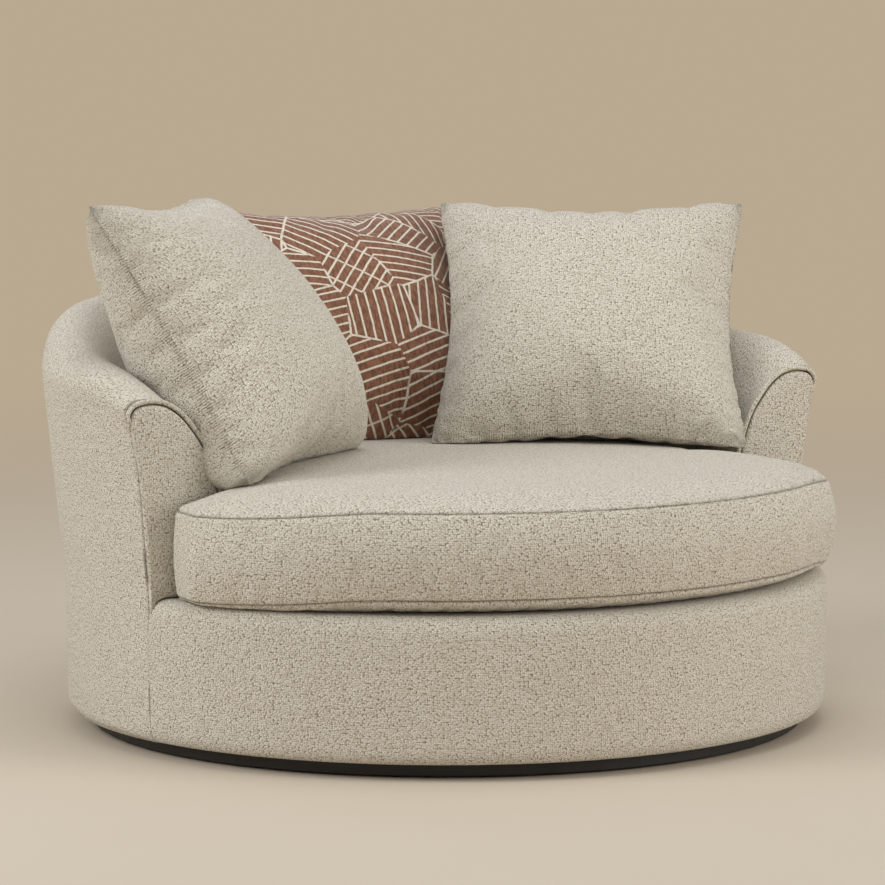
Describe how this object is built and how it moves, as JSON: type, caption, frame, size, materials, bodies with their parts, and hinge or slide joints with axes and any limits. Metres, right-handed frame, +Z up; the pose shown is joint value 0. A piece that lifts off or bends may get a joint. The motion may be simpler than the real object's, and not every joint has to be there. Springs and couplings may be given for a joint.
{
  "type": "swivel cuddle chair",
  "caption": "Round swivel cuddle chair with a barrel back falling into low arms, a round-fronted loose seat cushion and scatter pillows on a low plinth.",
  "frame": {"origin": "on the floor, at the middle of the centre glide, on the axis the chair swivels on", "axes": "+Z up, the chair faces -Y, +X towards the viewer's right when the chair is seen from the front"},
  "size_m": [1.4232, 1.3757, 0.9178],
  "materials": {
    "oatmeal_fabric": "chunky oatmeal weave with taupe flecks",
    "patterned_fabric": "rust brown cloth with cream strokes",
    "plinth_paint": "black painted board",
    "glide_plastic": "black nylon",
    "bearing_steel": "zinc plated pressings",
    "spring_steel": "oiled spring steel",
    "frame_timber": "plain sawn board",
    "back_webbing": "woven polypropylene",
    "foam": "cream upholstery foam"
  },
  "bodies": {
    "floor_base": {"floor_plinth": "plinth_paint", "glide_center": "glide_plastic", "glide_1": "glide_plastic", "glide_2": "glide_plastic", "glide_3": "glide_plastic", "glide_4": "glide_plastic", "lower_swivel_plate": "bearing_steel"},
    "ball_cage": {"ball_ring": "bearing_steel"},
    "chair": {"upper_swivel_plate": "bearing_steel", "bottom_board": "frame_timber", "deck_hoop": "frame_timber", "front_rail": "frame_timber", "back_rail": "frame_timber", "front_post_1": "frame_timber", "front_post_2": "frame_timber", "front_post_3": "frame_timber", "front_post_4": "frame_timber", "back_rib_1": "frame_timber", "back_rib_2": "frame_timber", "back_rib_3": "frame_timber", "back_rib_4": "frame_timber", "back_rib_5": "frame_timber", "back_rib_6": "frame_timber", "back_rib_7": "frame_timber", "arm_board_left": "frame_timber", "arm_board_right": "frame_timber", "top_rail": "frame_timber", "back_webbing_1": "back_webbing", "back_webbing_2": "back_webbing", "seat_spring_1": "spring_steel", "seat_spring_2": "spring_steel", "seat_spring_3": "spring_steel", "seat_spring_4": "spring_steel", "seat_spring_5": "spring_steel", "spring_clip_front_1": "spring_steel", "spring_clip_front_2": "spring_steel", "spring_clip_front_3": "spring_steel", "spring_clip_front_4": "spring_steel", "spring_clip_front_5": "spring_steel", "spring_clip_back_1": "spring_steel", "spring_clip_back_2": "spring_steel", "spring_clip_back_3": "spring_steel", "spring_clip_back_4": "spring_steel", "spring_clip_back_5": "spring_steel", "barrel_pad": "foam", "deck_pad": "foam", "barrel_cover": "oatmeal_fabric", "base_front_cover": "oatmeal_fabric", "arm_panel_left": "oatmeal_fabric", "arm_panel_right": "oatmeal_fabric", "arm_welt_left": "oatmeal_fabric", "arm_welt_right": "oatmeal_fabric", "deck_cover": "oatmeal_fabric"},
    "seat": {"seat_cover": "oatmeal_fabric", "seat_core": "foam", "seat_zip": "back_webbing"},
    "pillow_patterned_body": {"pillow_patterned": "patterned_fabric"},
    "pillow_left_body": {"pillow_left": "oatmeal_fabric"},
    "pillow_right_body": {"pillow_right": "oatmeal_fabric"}
  },
  "joints": [
    {"name": "swivel", "type": "hinge", "parent": "floor_base", "child": "chair", "pos_m": [0, 0, 0.022], "axis": [0, 0, 1], "continuous": true},
    {"name": "ball_cage_turn", "type": "hinge", "parent": "floor_base", "child": "ball_cage", "pos_m": [0, 0, 0.022], "axis": [0, 0, 1], "continuous": true},
    {"name": "seat_lift", "type": "slide", "parent": "chair", "child": "seat", "axis": [0, 0, 1], "range_m": [0, 0.15]},
    {"name": "pillow_patterned_lift", "type": "slide", "parent": "seat", "child": "pillow_patterned_body", "axis": [0, 0, 1], "range_m": [0, 0.25]},
    {"name": "pillow_left_lift", "type": "slide", "parent": "pillow_patterned_body", "child": "pillow_left_body", "axis": [0, 0, 1], "range_m": [0, 0.25]},
    {"name": "pillow_right_lift", "type": "slide", "parent": "pillow_patterned_body", "child": "pillow_right_body", "axis": [0, 0, 1], "range_m": [0, 0.25]}
  ],
  "couplings": [
    {"joint": "ball_cage_turn", "follows": "swivel", "ratio": 0.5}
  ]
}
